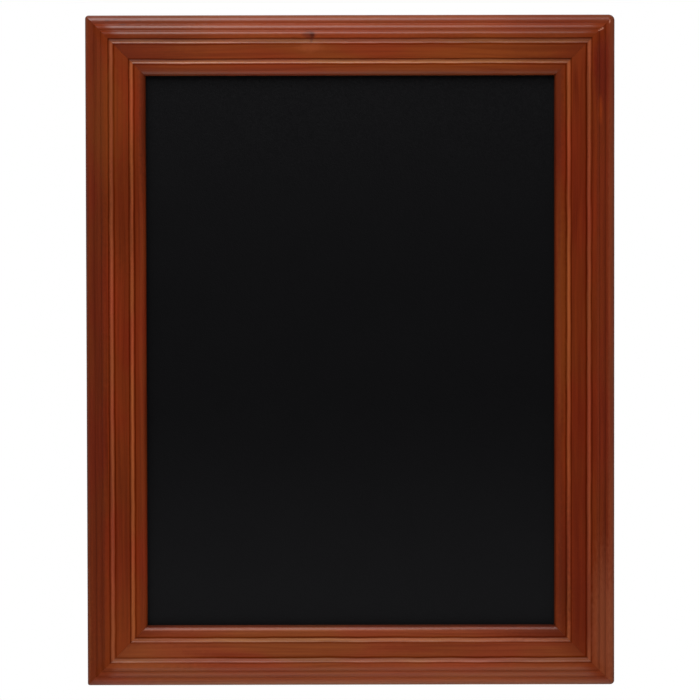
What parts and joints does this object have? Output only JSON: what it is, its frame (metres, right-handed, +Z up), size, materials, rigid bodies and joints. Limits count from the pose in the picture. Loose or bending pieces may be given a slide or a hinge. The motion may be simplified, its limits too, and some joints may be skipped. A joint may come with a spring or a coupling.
{
  "type": "wall chalkboard",
  "caption": "Upright wall chalkboard: a black writing board in a mitred, fluted wooden frame, with swinging D-rings and bumpers on its back.",
  "frame": {"origin": "the point of the wall plane behind the middle of the board; the wall bumpers' faces lie on that plane", "axes": "+X to the right as seen from the front, +Y from the front into the wall, +Z up"},
  "size_m": [0.3888, 0.0235, 0.4938],
  "materials": {
    "stained_wood": "red-brown stained pine under glossy lacquer",
    "black_laminate": "matt black writing surface",
    "fibreboard": "raw medium density fibreboard",
    "liner_paper": "matt grey-brown balancing paper",
    "nail_steel": "plain steel",
    "zinc_plate": "bright zinc plate",
    "bumper_rubber": "matt black rubber"
  },
  "bodies": {
    "frame": {"top_rail": "stained_wood", "right_stile": "stained_wood", "bottom_rail": "stained_wood", "left_stile": "stained_wood", "writing_sheet": "black_laminate", "core_board": "fibreboard", "back_liner": "liner_paper", "v_nail_top_right_outer": "nail_steel", "v_nail_top_right_inner": "nail_steel", "v_nail_bottom_right_outer": "nail_steel", "v_nail_bottom_right_inner": "nail_steel", "v_nail_bottom_left_outer": "nail_steel", "v_nail_bottom_left_inner": "nail_steel", "v_nail_top_left_outer": "nail_steel", "v_nail_top_left_inner": "nail_steel", "top_rail_point_1": "nail_steel", "top_rail_point_2": "nail_steel", "bottom_rail_point_1": "nail_steel", "bottom_rail_point_2": "nail_steel", "left_stile_point_1": "nail_steel", "left_stile_point_2": "nail_steel", "left_stile_point_3": "nail_steel", "right_stile_point_1": "nail_steel", "right_stile_point_2": "nail_steel", "right_stile_point_3": "nail_steel", "left_hanger_strap": "zinc_plate", "left_hanger_screw": "zinc_plate", "right_hanger_strap": "zinc_plate", "right_hanger_screw": "zinc_plate", "left_bumper": "bumper_rubber", "right_bumper": "bumper_rubber"},
    "left_ring": {"left_hanger_ring": "zinc_plate"},
    "right_ring": {"right_hanger_ring": "zinc_plate"}
  },
  "joints": [
    {"name": "left_ring_swing", "type": "hinge", "parent": "frame", "child": "left_ring", "pos_m": [-0.17545, -0.0022, 0.146], "axis": [-1, 0, 0], "range_deg": [0, 179]},
    {"name": "right_ring_swing", "type": "hinge", "parent": "frame", "child": "right_ring", "pos_m": [0.17545, -0.0022, 0.146], "axis": [-1, 0, 0], "range_deg": [0, 179]}
  ]
}
